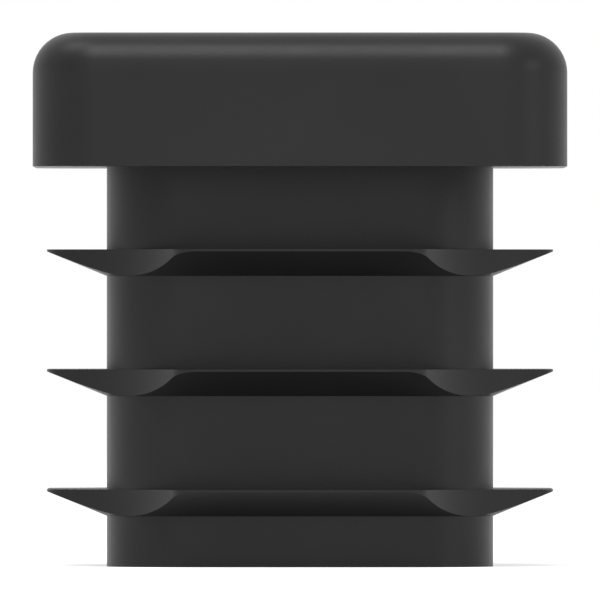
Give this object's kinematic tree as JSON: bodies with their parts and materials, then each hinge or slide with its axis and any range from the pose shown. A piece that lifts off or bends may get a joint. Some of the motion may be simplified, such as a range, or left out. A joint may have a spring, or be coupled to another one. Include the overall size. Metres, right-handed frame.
{
  "type": "tube end cap",
  "caption": "Push-in end cap for square tube: square closing head with rounded edges on a hollow core with flexible lamellae that grip the tube's inner wall.",
  "frame": {"origin": "middle of the core's open end, the rim that the cap stands on when it isn't fitted", "axes": "+Z along the core towards the head, against the way the cap is pushed in; X and Y square to the cap's four equal sides"},
  "size_m": [0.02, 0.02, 0.02],
  "materials": {
    "plastic": "fine satin moulded grain, black"
  },
  "bodies": {
    "root": {"end_cap": "plastic"}
  },
  "joints": []
}
